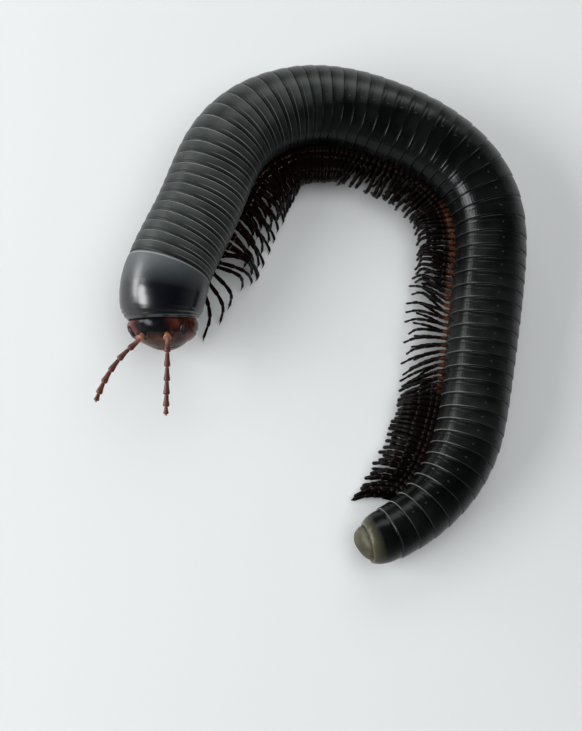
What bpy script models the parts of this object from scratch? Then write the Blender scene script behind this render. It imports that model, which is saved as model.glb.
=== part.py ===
"""Giant african millipede, life size, lying in an open C.

The front end is up on its legs. Behind it the body rolls over on to its right flank, with its underside
and both rows of legs towards the inside of the C. Sizes here are in millimetres and degrees, and the
model is built in metres. Arc length along the body is counted from the front of the head towards the tail.
"""

import math

import bmesh
import bpy
from mathutils import Matrix, Vector

MM = 0.001
GAP = 0.3
UP = Vector((0.0, 0.0, 1.0))

# The centreline on the floor, as (length, turn): a turn below zero bends to the right
STRETCHES = ((16.0, -32.0), (18.0, 14.0), (36.0, -83.0), (25.0, -23.0), (23.0, -65.0), (40.0, -4.0),
             (36.0, -64.0))
START_HEADING = 93.0
BEND_EASING = 7.0
EASING_SAMPLES = 9
PATH_STEP = 0.25
PATH_BEFORE = 12.0
PATH_AFTER = 6.0
# Where the centreline starts, which puts the origin under the middle of the whole animal
PATH_START = (-33.5, -6.38)

# The body: greatest radius, and as (arc length, value) its girth, roll and height off the floor
RADIUS = 9.0
GIRTH = ((0.0, 0.99), (14.0, 0.96), (30.0, 0.96), (88.0, 1.0), (122.0, 0.9), (160.0, 0.83), (188.0, 0.63))
ROLL = ((0.0, 27.0), (34.0, 45.0), (62.0, 62.0), (90.0, 72.0), (155.0, 72.0), (190.0, 52.0))
BELLY_HEIGHT = ((0.0, 2.8), (34.0, 2.6), (58.0, -0.3))
BODY_SIDES = 16
BELLY_FLATNESS = 0.05

# The rings behind the collar plate
COLLUM_FRONT = 0.8
COLLUM_REAR = 10.9
# As (share of its length, scale of the body there, drop)
COLLUM_PROFILE = ((0.0, 0.79, 0.9), (0.06, 0.86, 0.7), (0.2, 0.93, 0.45), (0.45, 0.98, 0.2),
                  (1.0, 1.0, 0.0))
BODY_END = 188.0
# As (arc length, length of a ring there): short behind the head, longest past the middle
RING_LENGTHS = ((11.0, 2.0), (18.0, 2.3), (32.0, 2.45), (38.0, 2.95), (54.0, 2.9), (62.0, 2.3), (80.0, 3.1),
                (112.0, 3.8), (122.0, 3.0), (160.0, 3.0), (188.0, 3.4))
RING_STEP = 0.28
STEP_LENGTH = 0.3
TRUNK_LENGTHS = 8

# The legs: the pairs are spread evenly, three for every four of the real animal
LEGLESS_RINGS = 2
LEG_PITCH = 1.85
LEG_MARGIN = 1.75
LEG_SPREAD = 17.0
ROOT_DEPTH = 1.0
COXA = 1.3
# At the root, knee, stem and foot, where the body is at its thickest
LEG_RADII = (0.55, 0.48, 0.36, 0.28)
THINNEST_LEG = 0.6
SHANK_LENGTH = 11.6
KNEE_PLACE = 0.5
OUTWARD_KNEE_PLACE = 0.62
LOW_KNEE_RISE = 0.9
FOOT_STEM = 0.9
LEFT_REACH = ((12.8, 10.3), (14.8, 14.7), (16.8, 14.6), (18.6, 17.4), (20.5, 15.6), (24.0, 17.3),
              (46.0, 18.0), (62.0, 14.5), (85.0, 13.5), (105.0, 14.2), (125.0, 14.5), (137.0, 16.0),
              (150.0, 14.8), (165.0, 15.0), (173.0, 14.2), (177.5, 12.0), (181.0, 9.6))
RIGHT_REACH = ((14.0, -8.4), (30.0, -8.4))
LAST_OUTWARD_LEG = 29.0
LOWER_ROW_REACH = 0.86
FOOT_LEAN = ((12.8, 12.0), (14.8, 8.4), (16.8, 4.2), (18.6, -1.4), (20.5, -1.8), (24.0, 1.6), (27.0, 3.2),
             (40.0, 3.0), (55.0, 1.4), (80.0, 1.0), (125.0, 0.5), (150.0, 0.0), (165.0, 0.0), (181.0, -10.5))
OUTWARD_LEAN = 0.5
KNEE_BOW = 0.14
PAIR_STAGGER = 1.6
WAVE_PAIRS = 12
STRIDE = 0.6
LIFT = 1.3
OTHER_ROW_PHASE = 0.45

# The head, as (distance ahead of its back, half width, half height, drop below the body's middle)
HEAD_SECTIONS = ((0.0, 6.3, 5.5, 1.3), (1.0, 6.7, 5.7, 1.4), (2.5, 6.3, 5.5, 1.7), (3.8, 5.4, 4.8, 2.2),
                 (4.8, 4.2, 3.8, 2.7), (5.6, 2.3, 2.2, 3.3))
HEAD_PITCH = 12.0
HEAD_SIDES = 18
HEAD_UNDERSIDE = 6.7
EYE_PLACE = (2.3, 61.0)
EYE_HALF_SIZE = (1.3, 0.85, 0.4)
MANDIBLE_PLACE = (2.2, 106.0)
MANDIBLE_HALF_SIZE = (2.0, 2.4, 0.6)
MOUTH_PLATE = (4.3, 6.4, 0.9)
MOUTH_PLATE_AHEAD = 2.4
SOCKET_PLACE = (3.3, 27.0)
SOCKET_RADIUS = 0.95

# The antennae: each article is slim where it starts and swells towards its end
ARTICLES = (1.4, 3.0, 2.9, 2.8, 2.6, 2.3, 1.4)
ARTICLE_START_RADIUS = 0.42
ARTICLE_END_RADIUS = 0.62
SWELL_PLACE = 0.75
ANTENNA_DEPTH = 0.4
SOCKET_BEND = 3.0
LEFT_ANTENNA_COURSE = ((0.0, -1.0, 0.1), (0.02, -1.0, 0.05))
RIGHT_ANTENNA_COURSE = ((-0.8, -0.6, 0.1), (-0.25, -0.95, 0.05))
ANTENNA_DROOP = 0.02

# The tail: the last ring narrows to its rear face, which two domed valves close
TAIL_SECTIONS = ((0.0, 0.97), (2.1, 0.94), (3.9, 0.86), (5.0, 0.75))
VALVE_LENGTH = 2.2
VALVE_HALF_WIDTH = 3.3
VALVE_HALF_HEIGHT = 3.8

BLACK_SHELL = (0.018, 0.019, 0.021, 1.0)
COLLUM_SHELL = (0.012, 0.013, 0.016, 1.0)
BROWN_SHELL = (0.075, 0.03, 0.018, 1.0)
EYE_BLACK = (0.006, 0.006, 0.007, 1.0)
VALVE_BROWN = (0.06, 0.05, 0.03, 1.0)


def clear_scene():
    for thing in list(bpy.data.objects):
        bpy.data.objects.remove(thing)


def eased(stops, s):
    """Reads a value at an arc length from a few (arc length, value) stops, with soft corners."""
    if s <= stops[0][0]:
        return stops[0][1]
    for (near, low), (far, high) in zip(stops, stops[1:]):
        if s <= far:
            share = (s - near) / (far - near)
            soft = share * share * (3.0 - 2.0 * share)
            return low + (high - low) * (0.5 * share + 0.5 * soft)
    return stops[-1][1]


def sharp_heading(s):
    heading = START_HEADING
    for length, turn in STRETCHES:
        heading += turn * min(max(s / length, 0.0), 1.0)
        s -= length
    return heading


def heading_at(s):
    """The direction of the centreline in radians, with each bend eased in and out."""
    offsets = [BEND_EASING * (2.0 * k / (EASING_SAMPLES - 1) - 1.0) for k in range(EASING_SAMPLES)]
    mean = sum(sharp_heading(s + offset) for offset in offsets) / EASING_SAMPLES
    return math.radians(mean)


def trace_centreline():
    """Floor points along the body, one every PATH_STEP, from ahead of the head to past the tail."""
    steps = round((PATH_BEFORE + sum(length for length, turn in STRETCHES) + PATH_AFTER) / PATH_STEP)
    points = [Vector((0.0, 0.0, 0.0))]
    for k in range(steps):
        heading = heading_at((k + 0.5) * PATH_STEP - PATH_BEFORE)
        points.append(points[-1] + PATH_STEP * Vector((math.cos(heading), math.sin(heading), 0.0)))
    start = points[round(PATH_BEFORE / PATH_STEP)]
    return [point - start + Vector((*PATH_START, 0.0)) for point in points]


CENTRELINE = trace_centreline()


class Station:
    """The body's own directions at one arc length."""

    def __init__(self, s):
        place = (s + PATH_BEFORE) / PATH_STEP
        index = min(int(place), len(CENTRELINE) - 2)
        floor = CENTRELINE[index].lerp(CENTRELINE[index + 1], place - index)
        heading = heading_at(s)
        self.back = Vector((math.cos(heading), math.sin(heading), 0.0))
        self.inward = self.back.cross(UP)
        self.radius = RADIUS * eased(GIRTH, s)
        self.roll = math.radians(eased(ROLL, s))
        self.centre = floor + UP * (self.radius + eased(BELLY_HEIGHT, s))
        self.dorsal = UP * math.cos(self.roll) - self.inward * math.sin(self.roll)
        self.left = self.back.cross(self.dorsal)

    def around(self, angle):
        """A direction square to the body, measured from straight down towards the inside of the C."""
        return self.inward * math.sin(angle) - UP * math.cos(angle)


def body_section(s, scale, drop=0.0, lean=0.0):
    """Points round the body, flattened where they would pass the floor.

    They are square to its centreline, or lean forward at the top by that share of their height.
    """
    here = Station(s)
    middle = here.centre - here.dorsal * drop
    points = []
    for k in range(BODY_SIDES):
        angle = 2.0 * math.pi * (k + 0.5) / BODY_SIDES
        belly = max(0.0, -math.cos(angle))
        reach = here.radius * scale * (1.0 - BELLY_FLATNESS * belly ** 4)
        upright = here.dorsal - here.back * lean
        point = middle + reach * (upright * math.cos(angle) + here.left * math.sin(angle))
        point.z = max(point.z, 0.0)
        points.append(point)
    return points


def shade(thing, name, colour, roughness):
    material = bpy.data.materials.get(name) or bpy.data.materials.new(name)
    material.use_nodes = True
    shader = material.node_tree.nodes["Principled BSDF"]
    shader.inputs["Base Color"].default_value = colour
    shader.inputs["Roughness"].default_value = roughness
    shader.inputs["Metallic"].default_value = 0.0
    material.diffuse_color = colour
    thing.data.materials.clear()
    thing.data.materials.append(material)


def loft(name, sections):
    """A closed body through sections with the same number of points, capped at both ends."""
    build = bmesh.new()
    rings = [[build.verts.new(point * MM) for point in section] for section in sections]
    for near, far in zip(rings, rings[1:]):
        for k in range(len(near)):
            build.faces.new((near[k], near[k - 1], far[k - 1], far[k]))
    build.faces.new(rings[0])
    build.faces.new(rings[-1])
    bmesh.ops.recalc_face_normals(build, faces=build.faces)
    mesh = bpy.data.meshes.new(name)
    build.to_mesh(mesh)
    build.free()
    thing = bpy.data.objects.new(name, mesh)
    model.objects.link(thing)
    return thing


def tube(name, points, radii, resolution):
    """A closed tube along the points, as thick at each one as its radius says."""
    curve = bpy.data.curves.new(name, "CURVE")
    curve.dimensions = "3D"
    curve.bevel_depth = MM
    curve.bevel_resolution = resolution
    curve.use_fill_caps = True
    spline = curve.splines.new("POLY")
    spline.points.add(len(points) - 1)
    for spot, point, radius in zip(spline.points, points, radii):
        spot.co = (*(point * MM), 1.0)
        spot.radius = radius
    guide = bpy.data.objects.new(name, curve)
    model.objects.link(guide)
    bpy.context.view_layer.update()
    seen = guide.evaluated_get(bpy.context.evaluated_depsgraph_get())
    mesh = bpy.data.meshes.new_from_object(seen)
    bpy.data.objects.remove(guide)
    build = bmesh.new()
    build.from_mesh(mesh)
    bmesh.ops.remove_doubles(build, verts=build.verts, dist=0.001 * MM)
    bmesh.ops.recalc_face_normals(build, faces=build.faces)
    build.to_mesh(mesh)
    build.free()
    thing = bpy.data.objects.new(name, mesh)
    model.objects.link(thing)
    return thing


def keep_largest(mesh):
    """Drops every surface but the one with the most vertices."""
    build = bmesh.new()
    build.from_mesh(mesh)
    waiting = set(build.verts)
    surfaces = []
    while waiting:
        edge = [waiting.pop()]
        surface = set(edge)
        while edge:
            vert = edge.pop()
            for link in vert.link_edges:
                other = link.other_vert(vert)
                if other in waiting:
                    waiting.remove(other)
                    surface.add(other)
                    edge.append(other)
        surfaces.append(surface)
    surfaces.sort(key=len)
    for surface in surfaces[:-1]:
        bmesh.ops.delete(build, geom=list(surface), context="VERTS")
    build.to_mesh(mesh)
    build.free()


def combine(thing, pieces, operation):
    """Applies one Boolean of the pieces on the thing, and removes them."""
    operands = bpy.data.collections.new(thing.name + "_pieces")
    bpy.context.scene.collection.children.link(operands)
    for piece in pieces:
        model.objects.unlink(piece)
        operands.objects.link(piece)
    change = thing.modifiers.new("Combine", "BOOLEAN")
    change.operation = operation
    change.operand_type = "COLLECTION"
    change.collection = operands
    change.solver = "EXACT"
    bpy.context.view_layer.update()
    seen = thing.evaluated_get(bpy.context.evaluated_depsgraph_get())
    mesh = bpy.data.meshes.new_from_object(seen)
    thing.modifiers.clear()
    thing.data = mesh
    for piece in pieces:
        bpy.data.objects.remove(piece)
    bpy.data.collections.remove(operands)
    keep_largest(mesh)


def ring_edges():
    """The arc length at each ring's front edge, and at the last one's rear edge."""
    start = COLLUM_REAR + GAP
    edges = [start]
    while edges[-1] < BODY_END - 0.5 * RING_LENGTHS[-1][1]:
        edges.append(edges[-1] + eased(RING_LENGTHS, edges[-1]))
    stretch = (BODY_END - start) / (edges[-1] - start)
    return [start + (edge - start) * stretch for edge in edges]


def leg(number, s, side):
    """One walking leg, with its root sunk in the body and its foot level with the floor."""
    here = Station(s)
    girth = here.radius / RADIUS
    angle = here.roll + side * math.radians(LEG_SPREAD)
    out = here.around(angle)
    root = here.centre + out * here.radius * (1.0 - BELLY_FLATNESS)
    hip = root + out * COXA
    outward = side < 0 and s < LAST_OUTWARD_LEG
    reach = eased(RIGHT_REACH, s) if outward else eased(LEFT_REACH, s)
    if side < 0 and not outward:
        reach *= LOWER_ROW_REACH
    if number % 2:
        reach -= math.copysign(PAIR_STAGGER, reach)
    phase = 2.0 * math.pi * (number / WAVE_PAIRS + (OTHER_ROW_PHASE if side < 0 else 0.0))
    lift = LIFT * max(0.0, math.sin(phase))
    lean = eased(FOOT_LEAN, s) * (OUTWARD_LEAN if outward else 1.0)
    below = Station(s - lean + STRIDE * math.cos(phase))
    foot = Vector((below.centre.x, below.centre.y, lift)) + below.inward * reach
    stem = foot + UP * FOOT_STEM
    shank = stem - hip
    rise = 0.5 * math.sqrt(max((SHANK_LENGTH * girth) ** 2 - shank.length_squared, 0.0))
    if side < 0:
        rise = LOW_KNEE_RISE
    upward = (UP - shank * (shank.z / shank.length_squared)).normalized()
    bow = here.inward * math.copysign(KNEE_BOW * abs(lean), reach)
    knee = hip.lerp(stem, OUTWARD_KNEE_PLACE if outward else KNEE_PLACE) + upward * rise + bow
    points = [root - out * ROOT_DEPTH, knee, stem, foot]
    radii = [radius * (THINNEST_LEG + (1.0 - THINNEST_LEG) * girth) for radius in LEG_RADII]
    if outward:
        points.insert(1, hip)
        radii.insert(1, radii[0])
    return tube(f"leg_{number}_{side}", points, radii, 0)


def make_trunk():
    edges = ring_edges()
    rings = len(edges) - 1
    first = 0
    number = 0
    for length in range(1, TRUNK_LENGTHS + 1):
        last = round(rings * length / TRUNK_LENGTHS)
        sections = []
        legs = []
        for ring in range(first, last):
            near, far = edges[ring], edges[ring + 1]
            front = near + (GAP / 2 if ring == first else 0.0)
            rear = far - (GAP / 2 if ring == last - 1 else STEP_LENGTH)
            sections.append(body_section(front, 1.0 - RING_STEP / RADIUS))
            sections.append(body_section(rear, 1.0))
        start = edges[first] + LEG_MARGIN
        end = edges[min(last, rings - LEGLESS_RINGS)] - LEG_MARGIN
        gaps = round((end - start) / LEG_PITCH)
        for pair in range(gaps + 1):
            place = start + pair * (end - start) / gaps
            legs.append(leg(number, place, 1))
            legs.append(leg(number, place, -1))
            number += 1
        trunk = loft(f"trunk_{length}", sections)
        combine(trunk, legs, "UNION")
        shade(trunk, "black_shell", BLACK_SHELL, 0.35)
        first = last


def make_collum():
    sections = []
    for share, scale, drop in COLLUM_PROFILE:
        s = COLLUM_FRONT + share * (COLLUM_REAR - COLLUM_FRONT)
        lean = (1.0 - share) * math.tan(math.radians(HEAD_PITCH))
        sections.append(body_section(s, scale, drop, lean))
    collum = loft("collum", sections)
    shade(collum, "collum_shell", COLLUM_SHELL, 0.18)


class Head:
    """The head's own directions, from the body's at its back face."""

    def __init__(self):
        here = Station(COLLUM_FRONT - GAP)
        pitch = math.radians(HEAD_PITCH)
        self.back_centre = here.centre
        self.ahead = -here.back * math.cos(pitch) - here.dorsal * math.sin(pitch)
        self.left = here.left
        self.dorsal = here.dorsal * math.cos(pitch) - here.back * math.sin(pitch)

    def place(self, ahead, side, rise):
        return self.back_centre + self.ahead * ahead + self.left * side + self.dorsal * rise

    def rim(self, ahead, angle):
        """A point on the surface, at an angle from the top towards the animal's left."""
        stops = list(zip(HEAD_SECTIONS, HEAD_SECTIONS[1:]))
        near, far = next((pair for pair in stops if ahead <= pair[1][0]), stops[-1])
        share = (ahead - near[0]) / (far[0] - near[0])
        half_width, half_height, drop = (a + (b - a) * share for a, b in zip(near[1:], far[1:]))
        rise = max(half_height * math.cos(angle) - drop, -HEAD_UNDERSIDE)
        return self.place(ahead, half_width * math.sin(angle), rise)

    def directions(self, ahead, angle):
        """The way along the surface towards the front, the way round it, and the way out of it."""
        small = 0.05
        forward = self.rim(ahead + small, angle) - self.rim(ahead - small, angle)
        around = self.rim(ahead, angle + small) - self.rim(ahead, angle - small)
        out = around.cross(forward).normalized()
        if out.dot(self.rim(ahead, angle) - self.back_centre) < 0.0:
            out = -out
        forward.normalize()
        return forward, out.cross(forward), out


def lump(name, centre, axes, half_sizes, segments):
    """A rounded lump with its half sizes along three directions."""
    matrix = Matrix.Identity(4)
    for column, (axis, half_size) in enumerate(zip(axes, half_sizes)):
        for row in range(3):
            matrix[row][column] = axis[row] * half_size * MM
    matrix.translation = centre * MM
    build = bmesh.new()
    bmesh.ops.create_uvsphere(build, u_segments=segments, v_segments=segments * 2 // 3, radius=1.0)
    bmesh.ops.transform(build, matrix=matrix, verts=build.verts)
    bmesh.ops.recalc_face_normals(build, faces=build.faces)
    mesh = bpy.data.meshes.new(name)
    build.to_mesh(mesh)
    build.free()
    thing = bpy.data.objects.new(name, mesh)
    model.objects.link(thing)
    return thing


def make_head():
    head = Head()
    sections = []
    for ahead, half_width, half_height, drop in HEAD_SECTIONS:
        angles = [2.0 * math.pi * (k + 0.5) / HEAD_SIDES for k in range(HEAD_SIDES)]
        sections.append([head.rim(ahead, angle) for angle in angles])
    skull = loft("head", sections)
    pockets = []
    for side, word in ((1, "left"), (-1, "right")):
        ahead, angle = EYE_PLACE[0], side * math.radians(EYE_PLACE[1])
        axes = head.directions(ahead, angle)
        eye = lump(f"eye_{word}", head.rim(ahead, angle), axes, EYE_HALF_SIZE, 10)
        shade(eye, "eye_black", EYE_BLACK, 0.1)
        roomy = [half_size + GAP for half_size in EYE_HALF_SIZE]
        pockets.append(lump("pocket", head.rim(ahead, angle), axes, roomy, 10))
        ahead, angle = MANDIBLE_PLACE[0], side * math.radians(MANDIBLE_PLACE[1])
        axes = head.directions(ahead, angle)
        mandible = lump(f"mandible_{word}", head.rim(ahead, angle), axes, MANDIBLE_HALF_SIZE, 12)
        shade(mandible, "brown_shell", BROWN_SHELL, 0.3)
        roomy = [half_size + GAP for half_size in MANDIBLE_HALF_SIZE]
        pockets.append(lump("pocket", head.rim(ahead, angle), axes, roomy, 12))
        ahead, angle = SOCKET_PLACE[0], side * math.radians(SOCKET_PLACE[1])
        axes = head.directions(ahead, angle)
        pockets.append(lump("pocket", head.rim(ahead, angle), axes, [SOCKET_RADIUS] * 3, 10))
        make_antenna(f"antenna_{word}", head.rim(ahead, angle), axes[2], side)
    combine(skull, pockets, "DIFFERENCE")
    shade(skull, "head_shell", COLLUM_SHELL, 0.2)
    make_mouth_plate(head)


def make_antenna(name, socket, out, side):
    """Seven articles end to end, on a line that leaves the socket and droops towards the tip."""
    start, end = (Vector(way) for way in (LEFT_ANTENNA_COURSE if side > 0 else RIGHT_ANTENNA_COURSE))
    points, radii = [], []
    travelled = -ANTENNA_DEPTH
    point = socket - out * ANTENNA_DEPTH
    for length in ARTICLES:
        for share, radius in ((SWELL_PLACE, ARTICLE_START_RADIUS), (1.0 - SWELL_PLACE, ARTICLE_END_RADIUS)):
            points.append(point)
            radii.append(radius)
            stretch = length * share
            direction = start.lerp(end, max(travelled, 0.0) / sum(ARTICLES))
            lean = min(max(travelled / SOCKET_BEND, 0.0), 1.0)
            heading = out.lerp(direction, lean) - UP * ANTENNA_DROOP * max(travelled, 0.0)
            point = point + heading.normalized() * stretch
            travelled += stretch
    points.append(point)
    radii.append(ARTICLE_START_RADIUS)
    antenna = tube(name, points, radii, 1)
    shade(antenna, "brown_shell", BROWN_SHELL, 0.3)


def make_mouth_plate(head):
    """The plate that closes the mouth below, along the flat underside of the head."""
    length, width, thickness = MOUTH_PLATE
    rise = -HEAD_UNDERSIDE - GAP - thickness / 2
    centre = head.place(MOUTH_PLATE_AHEAD, 0.0, rise)
    build = bmesh.new()
    bmesh.ops.create_cube(build, size=1.0)
    matrix = Matrix.Identity(4)
    for column, axis in enumerate((head.ahead * length, head.left * width, head.dorsal * thickness)):
        for row in range(3):
            matrix[row][column] = axis[row] * MM
    matrix.translation = centre * MM
    bmesh.ops.transform(build, matrix=matrix, verts=build.verts)
    bmesh.ops.bevel(build, geom=build.edges, offset=0.25 * MM, segments=1, affect="EDGES")
    bmesh.ops.recalc_face_normals(build, faces=build.faces)
    mesh = bpy.data.meshes.new("mouth_plate")
    build.to_mesh(mesh)
    build.free()
    plate = bpy.data.objects.new("mouth_plate", mesh)
    model.objects.link(plate)
    shade(plate, "brown_shell", BROWN_SHELL, 0.3)


def make_tail():
    start = BODY_END + GAP / 2
    tail = loft("tail_ring", [body_section(start + along, scale) for along, scale in TAIL_SECTIONS])
    shade(tail, "black_shell", BLACK_SHELL, 0.35)
    end = Station(start + TAIL_SECTIONS[-1][0])
    base = end.centre + end.back * GAP
    for side, word in ((1, "left"), (-1, "right")):
        axes = (end.back, end.left, end.dorsal)
        half_sizes = (VALVE_LENGTH, VALVE_HALF_WIDTH, VALVE_HALF_HEIGHT)
        valve = lump(f"anal_valve_{word}", base, axes, half_sizes, 12)
        build = bmesh.new()
        build.from_mesh(valve.data)
        for edge, normal in ((base, -end.back), (base + end.left * side * GAP / 2, -end.left * side)):
            everything = list(build.verts) + list(build.edges) + list(build.faces)
            cut = bmesh.ops.bisect_plane(build, geom=everything, plane_co=edge * MM, plane_no=normal,
                                         clear_outer=True)
            rim = [part for part in cut["geom_cut"] if isinstance(part, bmesh.types.BMEdge)]
            bmesh.ops.contextual_create(build, geom=rim)
        bmesh.ops.recalc_face_normals(build, faces=build.faces)
        build.to_mesh(valve.data)
        build.free()
        shade(valve, "valve_brown", VALVE_BROWN, 0.4)


clear_scene()
model = bpy.data.collections.new("giant_african_millipede")
bpy.context.scene.collection.children.link(model)
make_head()
make_collum()
make_trunk()
make_tail()
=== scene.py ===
"""The looks of a life-size giant african millipede, lying in an open C with its front end up on its legs.

Sizes are in millimetres and degrees, and the meshes are made in metres. Arc length along the body is
counted from the front of the head towards the tail.
"""

import math
import random

import bmesh
import bpy
from mathutils import Matrix, Vector


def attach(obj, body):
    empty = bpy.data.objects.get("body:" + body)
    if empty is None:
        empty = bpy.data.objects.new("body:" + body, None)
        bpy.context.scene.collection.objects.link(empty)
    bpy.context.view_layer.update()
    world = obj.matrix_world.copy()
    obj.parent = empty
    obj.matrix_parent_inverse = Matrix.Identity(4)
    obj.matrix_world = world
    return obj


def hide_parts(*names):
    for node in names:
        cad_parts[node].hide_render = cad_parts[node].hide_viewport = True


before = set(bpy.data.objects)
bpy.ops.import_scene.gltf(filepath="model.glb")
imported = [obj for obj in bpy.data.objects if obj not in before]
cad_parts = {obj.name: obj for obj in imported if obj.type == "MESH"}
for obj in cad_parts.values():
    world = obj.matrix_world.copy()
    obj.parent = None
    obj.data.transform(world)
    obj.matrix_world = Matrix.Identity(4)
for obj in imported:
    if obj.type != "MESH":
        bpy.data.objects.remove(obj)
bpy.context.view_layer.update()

# The trunk is a tube of hard, limy black rings, each one tucked under the rear edge of the ring ahead.
# It is one skin, lofted along the bent centreline with the same profile for every ring, and it ends in
# the collar of the tail. Every ring has a pale rear edge, a fine seam, and striae low on its flanks.
MM = 0.001
UP = Vector((0.0, 0.0, 1.0))
STRETCHES = ((16.0, -32.0), (18.0, 14.0), (36.0, -83.0), (25.0, -23.0), (23.0, -65.0), (40.0, -4.0),
             (36.0, -64.0))
START_HEADING = 93.0
BEND_EASING = 7.0
EASING_SAMPLES = 9
PATH_STEP = 0.25
PATH_BEFORE = 12.0
PATH_AFTER = 8.0
PATH_START = (-33.5, -6.38)
RADIUS = 9.0
GIRTH = ((0.0, 0.99), (14.0, 0.96), (30.0, 0.96), (88.0, 1.0), (122.0, 0.9), (160.0, 0.83), (188.0, 0.63))
ROLL = ((0.0, 27.0), (34.0, 45.0), (62.0, 62.0), (90.0, 72.0), (155.0, 72.0), (190.0, 52.0))
BELLY_HEIGHT = ((0.0, 2.8), (34.0, 2.6), (58.0, -0.3))
BELLY_FLATNESS = 0.05
COLLUM_FRONT = 0.8
COLLUM_REAR = 10.9
FIRST_RING_GAP = 0.3
BODY_END = 188.0
TAIL_TINT = (61.7, 62.0)
RING_LENGTHS = ((11.0, 2.0), (18.0, 2.3), (32.0, 2.45), (38.0, 2.95), (54.0, 2.9), (62.0, 2.3), (80.0, 3.1),
                (112.0, 3.8), (122.0, 3.0), (160.0, 3.0), (188.0, 3.4))
# As (share of the ring's length, height over the body's radius)
RING_PROFILE = ((0.0, -0.3), (0.025, -0.21), (0.06, -0.14), (0.12, -0.115), (0.2, -0.1), (0.3, -0.085),
                (0.325, -0.1), (0.35, -0.072), (0.45, -0.052), (0.58, -0.026), (0.72, -0.008), (0.86, 0.002),
                (0.93, 0.0), (0.96, -0.015), (0.98, -0.07), (0.988, -0.17))
RING_VARIATION = 0.15
RING_SEED = 11
# The rings where the front's painted light fades from grey to black, and how many rings later it does so on
# the back
PAINTED_LIGHT_FADE_RINGS = (9.0, 21.0)
# On the back the longer grey is painted sheen, where highlights fall
PAINTED_SHEEN_BACK_DELAY = 24.0
STRIAE_PER_RADIAN = 92.0
SHELL_SIDES = 120
FIRST_TUCK = 0.7
TAIL_LENGTH = 5.1
TAIL_LEAN = -0.1
LEG_PLACES = (0.28, 0.74)
BELLY_TROUGH = 0.45
BELLY_TROUGH_WIDTH = 27.0
STERNITE_HEIGHT = 0.4
STERNITE_WIDTH = 15.0
STERNITE_LENGTH = 0.17
# As (distance behind the last ring, height over the body's radius)
TAIL_SECTIONS = ((0.3, -0.3), (0.5, -0.26), (1.2, -0.24), (2.1, -0.32), (2.9, -0.48), (3.7, -0.72),
                 (4.3, -0.98), (4.8, -1.28), (5.05, -1.5), (5.12, -1.75), (4.9, -2.05), (4.2, -2.3))
# Where the tail's sections count as places on one more ring: the first one, and the share for each mm
TAIL_PLACES = (0.4, 0.11)
# Colours, each a pair for the cloudy patches of the shell, or one alone
# Painted light: the front rings are painted grey, the rear rings black, as more light falls on the front
FRONT_RING_PAINTED_LIGHT_GREYS = ((0.018, 0.0205, 0.019, 1.0), (0.03, 0.034, 0.031, 1.0))
REAR_RING_BLACKS = ((0.0012, 0.0013, 0.0013, 1.0), (0.0035, 0.004, 0.0035, 1.0))
RING_SHADOW = (0.001, 0.001, 0.001, 1.0)
PALE_LINE = (0.2, 0.2, 0.185, 1.0)
TAIL_OLIVE = (0.07, 0.065, 0.04, 1.0)


def eased(stops, s):
    """Reads a value at an arc length from a few (arc length, value) stops, with soft corners."""
    if s <= stops[0][0]:
        return stops[0][1]
    for (near, low), (far, high) in zip(stops, stops[1:]):
        if s <= far:
            share = (s - near) / (far - near)
            soft = share * share * (3.0 - 2.0 * share)
            return low + (high - low) * (0.5 * share + 0.5 * soft)
    return stops[-1][1]


def sharp_heading(s):
    heading = START_HEADING
    for length, turn in STRETCHES:
        heading += turn * min(max(s / length, 0.0), 1.0)
        s -= length
    return heading


def heading_at(s):
    """The direction of the centreline in radians, with each bend eased in and out."""
    offsets = [BEND_EASING * (2.0 * k / (EASING_SAMPLES - 1) - 1.0) for k in range(EASING_SAMPLES)]
    mean = sum(sharp_heading(s + offset) for offset in offsets) / EASING_SAMPLES
    return math.radians(mean)


def trace_centreline():
    """Floor points along the body, one every PATH_STEP, from ahead of the head to past the tail."""
    steps = round((PATH_BEFORE + sum(length for length, turn in STRETCHES) + PATH_AFTER) / PATH_STEP)
    points = [Vector((0.0, 0.0, 0.0))]
    for k in range(steps):
        heading = heading_at((k + 0.5) * PATH_STEP - PATH_BEFORE)
        points.append(points[-1] + PATH_STEP * Vector((math.cos(heading), math.sin(heading), 0.0)))
    start = points[round(PATH_BEFORE / PATH_STEP)]
    return [point - start + Vector((*PATH_START, 0.0)) for point in points]


CENTRELINE = trace_centreline()


class Station:
    """The body's own directions at one arc length."""

    def __init__(self, s):
        place = (s + PATH_BEFORE) / PATH_STEP
        index = min(int(place), len(CENTRELINE) - 2)
        floor = CENTRELINE[index].lerp(CENTRELINE[index + 1], place - index)
        heading = heading_at(s)
        self.back = Vector((math.cos(heading), math.sin(heading), 0.0))
        self.inward = self.back.cross(UP)
        self.radius = RADIUS * eased(GIRTH, s)
        self.roll = math.radians(eased(ROLL, s))
        self.centre = floor + UP * (self.radius + eased(BELLY_HEIGHT, s))
        self.dorsal = UP * math.cos(self.roll) - self.inward * math.sin(self.roll)
        self.left = self.back.cross(self.dorsal)

    def around(self, angle):
        """A direction square to the body, measured from straight down towards the inside of the C."""
        return self.inward * math.sin(angle) - UP * math.cos(angle)

    def skin(self, angle, lift, lean=0.0):
        """A point on the body, at an angle from the middle of the back towards the animal's left."""
        belly = max(0.0, -math.cos(angle))
        reach = self.radius * (1.0 - BELLY_FLATNESS * belly ** 4) + lift
        upright = self.dorsal - self.back * lean
        point = self.centre + reach * (upright * math.cos(angle) + self.left * math.sin(angle))
        point.z = max(point.z, 0.0)
        return point


def ring_edges():
    """The arc length at each ring's front edge, and at the last one's rear edge."""
    start = COLLUM_REAR + FIRST_RING_GAP
    edges = [start]
    while edges[-1] < BODY_END - 0.5 * RING_LENGTHS[-1][1]:
        edges.append(edges[-1] + eased(RING_LENGTHS, edges[-1]))
    stretch = (BODY_END - start) / (edges[-1] - start)
    return [start + (edge - start) * stretch for edge in edges]


def turn_angles(sides):
    return [2.0 * math.pi * (k + 0.5) / sides - math.pi for k in range(sides)]


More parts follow.
